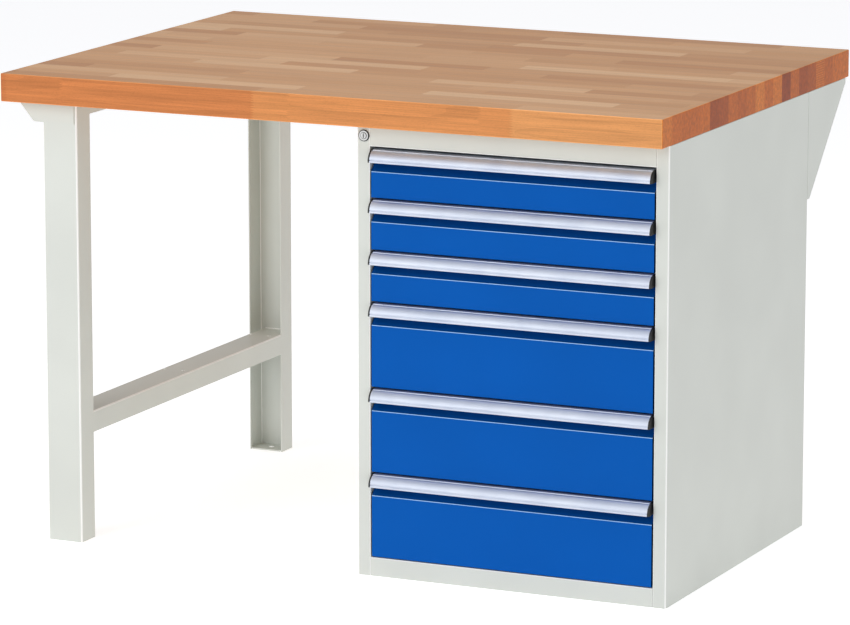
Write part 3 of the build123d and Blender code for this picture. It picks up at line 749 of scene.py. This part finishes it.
# %% Build the screw tree
head_taper, shank_taper = 0.72, 0.3  # a cone's narrow end as a share of its wide end
slot_length, slot_thickness, slot_depth = 1.1, 0.22, 1.1  # as shares of the head's radius and height
screw, given, result = new_tree("screw", {"Head Radius": 5 * mm, "Head Height": 3 * mm,
                                          "Shank Radius": 2.5 * mm, "Shank Length": 30 * mm})
head = add(screw, "GeometryNodeMeshCone", {
    "Vertices": 24, "Radius Bottom": calc(screw, "MULTIPLY", given["Head Radius"], head_taper),
    "Radius Top": given["Head Radius"], "Depth": given["Head Height"]})
recessed = add(screw, "GeometryNodeMeshBoolean", {"Mesh 1": head.outputs[0]}, operation="DIFFERENCE",
               solver="EXACT")
long_side = calc(screw, "MULTIPLY", given["Head Radius"], slot_length)
thin_side = calc(screw, "MULTIPLY", given["Head Radius"], slot_thickness)
deep_side = calc(screw, "MULTIPLY", given["Head Height"], slot_depth)
for sides in ((long_side, thin_side), (thin_side, long_side)):
    cutter_size = add(screw, "ShaderNodeCombineXYZ", {0: sides[0], 1: sides[1], 2: deep_side})
    cutter = add(screw, "GeometryNodeMeshCube", {"Size": cutter_size.outputs[0]})
    screw.links.new(cutter.outputs[0], recessed.inputs["Mesh 2"])
shank = add(screw, "GeometryNodeMeshCone", {
    "Vertices": 16, "Radius Bottom": given["Shank Radius"],
    "Radius Top": calc(screw, "MULTIPLY", given["Shank Radius"], shank_taper),
    "Depth": given["Shank Length"]})
above_head = add(screw, "ShaderNodeCombineXYZ", {2: given["Head Height"]})
raised = add(screw, "GeometryNodeTransform",
             {"Geometry": shank.outputs[0], "Translation": above_head.outputs[0]})
whole = add(screw, "GeometryNodeJoinGeometry")
for half in (recessed, raised):
    screw.links.new(half.outputs[0], whole.inputs[0])
placed = add(screw, "GeometryNodeInstanceOnPoints",
             {"Points": given["Geometry"], "Instance": whole.outputs[0]})
close_tree(screw, result, placed.outputs[0], given["Material"])


# %% Set the screws
def middles_of_solids(part):
    """Where the middle of each separate solid of an engineering part stands, as (x, y)."""
    shell = bmesh.new()
    shell.from_mesh(part.data)
    bmesh.ops.remove_doubles(shell, verts=shell.verts, dist=0.001 * mm)
    seen, middles = set(), []
    for start in shell.verts:
        if start in seen:
            continue
        seen.add(start)
        solid = [start]
        for vertex in solid:  # the list grows while it is walked
            for neighbour in (edge.other_vert(vertex) for edge in vertex.link_edges):
                if neighbour not in seen:
                    seen.add(neighbour)
                    solid.append(neighbour)
        across, along = [v.co.x for v in solid], [v.co.y for v in solid]
        middles.append(((min(across) + max(across)) / 2, (min(along) + max(along)) / 2))
    shell.free()
    return middles


head_radius, head_height, shank_radius = 5 * mm, 3 * mm, 2.5 * mm
for name in ("cabinet_screws", "leg_screws"):
    low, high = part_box(name)
    middles = middles_of_solids(cad_nodes[name])
    grow("crosshead_" + name, screw, [(x, y, low.z) for x, y in middles], [],
         {"Material": zinc, "Head Radius": head_radius, "Head Height": head_height,
          "Shank Radius": shank_radius, "Shank Length": high.z - low.z - head_height},
         "bench_frame", "zinc_steel", name)
    print(len(middles), "screws at", [(round(x / mm, 1), round(y / mm, 1)) for x, y in middles])

# %% [markdown]
# ## Rivets in the drawers
# The inner members of the slides are riveted to the drawer's side walls, and only the domed heads inside the
# drawer show. A head could be turned as a cap of a ball, but a whole ball is already closed, so the tree
# flattens one across the wall and sets it at four places along each side.

# %% Build the rivet tree
rivet, given, result = new_tree("rivet", {"Radius": 3.5 * mm, "Dome": 0.3})
ball = add(rivet, "GeometryNodeMeshUVSphere", {"Segments": 20, "Rings": 10, "Radius": given["Radius"]})
flat = add(rivet, "ShaderNodeCombineXYZ", {0: given["Dome"], 1: 1.0, 2: 1.0})
dome = add(rivet, "GeometryNodeTransform", {"Geometry": ball.outputs[0], "Scale": flat.outputs[0]})
placed = add(rivet, "GeometryNodeInstanceOnPoints",
             {"Points": given["Geometry"], "Instance": dome.outputs[0]})
close_tree(rivet, result, placed.outputs[0], given["Material"])

# %% Rivet the drawers
box_sheet = 1.2 * mm
rivet_shares = (0.06, 0.35, 0.65, 0.94)  # along the slide
for number in drawer_numbers:
    low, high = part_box(f"drawer_{number}_inner_slides")
    right_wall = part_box(f"drawer_{number}_box")[1].x - box_sheet
    left_wall = low.x + high.x - right_wall
    places = [(x, low.y + share * (high.y - low.y), (low.z + high.z) / 2)
              for x in (right_wall, left_wall) for share in rivet_shares]
    grow(f"drawer_{number}_rivets", rivet, places, [], {"Material": zinc, "Radius": 3.5 * mm, "Dome": 0.3},
         f"drawer_{number}", "zinc_steel")

# %% [markdown]
# ## Weld beads on the leg frame
# The crossbar's tongues are welded to the legs' webs and its wall to their flanges. A bead is a row of small
# puddles, each overlapping the last, and painted with the frame. It could be a plain round rod with a bump,
# but its outline would stay straight. The tree steps along a line and lets the bead's radius swell and shrink
# with every puddle.

# %% Build the weld tree
weld, given, result = new_tree("weld", {"Radius": 1.5 * mm, "Puddle": 2.4 * mm, "Swell": 0.2})
path = add(weld, "GeometryNodeMeshToCurve", {0: given["Geometry"]})
step = calc(weld, "DIVIDE", given["Puddle"], 4)
fine = add(weld, "GeometryNodeResampleCurve", {"Curve": path.outputs[0], "Length": step}, mode="LENGTH")
length = add(weld, "GeometryNodeSplineParameter").outputs["Length"]
wave = calc(weld, "SINE", calc(weld, "MULTIPLY", calc(weld, "DIVIDE", length, given["Puddle"]), tau))
ripple = calc(weld, "MULTIPLY_ADD", wave, given["Swell"], 1.0)
uneven = add(weld, "ShaderNodeTexNoise", {"Scale": 400.0, "Detail": 1.0})
size = calc(weld, "MULTIPLY", ripple, calc(weld, "MULTIPLY_ADD", uneven.outputs["Fac"], 0.5, 0.75))
rod = add(weld, "GeometryNodeCurvePrimitiveCircle", {"Resolution": 10, "Radius": given["Radius"]})
bead = add(weld, "GeometryNodeCurveToMesh", {"Curve": fine.outputs[0], "Profile Curve": rod.outputs[0],
                                             "Scale": size, "Fill Caps": True})
close_tree(weld, result, bead.outputs[0], given["Material"])

# %% Weld the crossbar
bar_low, bar_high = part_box("leg_crossbar")
tongue_top, tongue_inset = bar_high.z + 0.6 * mm, 0.9 * mm
end_gap = 6 * mm  # a bead stops short of the corner
wall_face, flange_edge = bar_high.x - 2.6 * mm, 46 * mm
seams = [((bar_low.x + end_gap, y, tongue_top), (bar_high.x - end_gap, y, tongue_top))
         for y in (bar_low.y + tongue_inset, bar_high.y - tongue_inset)]
seams += [((wall_face, y, bar_low.z + 2 * mm), (wall_face, y, bar_high.z - end_gap))
          for y in (bar_low.y + flange_edge, bar_high.y - flange_edge)]
grow("crossbar_welds", weld, [end for seam in seams for end in seam],
     [(2 * i, 2 * i + 1) for i in range(len(seams))],
     {"Material": grey_paint, "Radius": 1.5 * mm, "Puddle": 2.4 * mm, "Swell": 0.2},
     "bench_frame", "grey_paint")
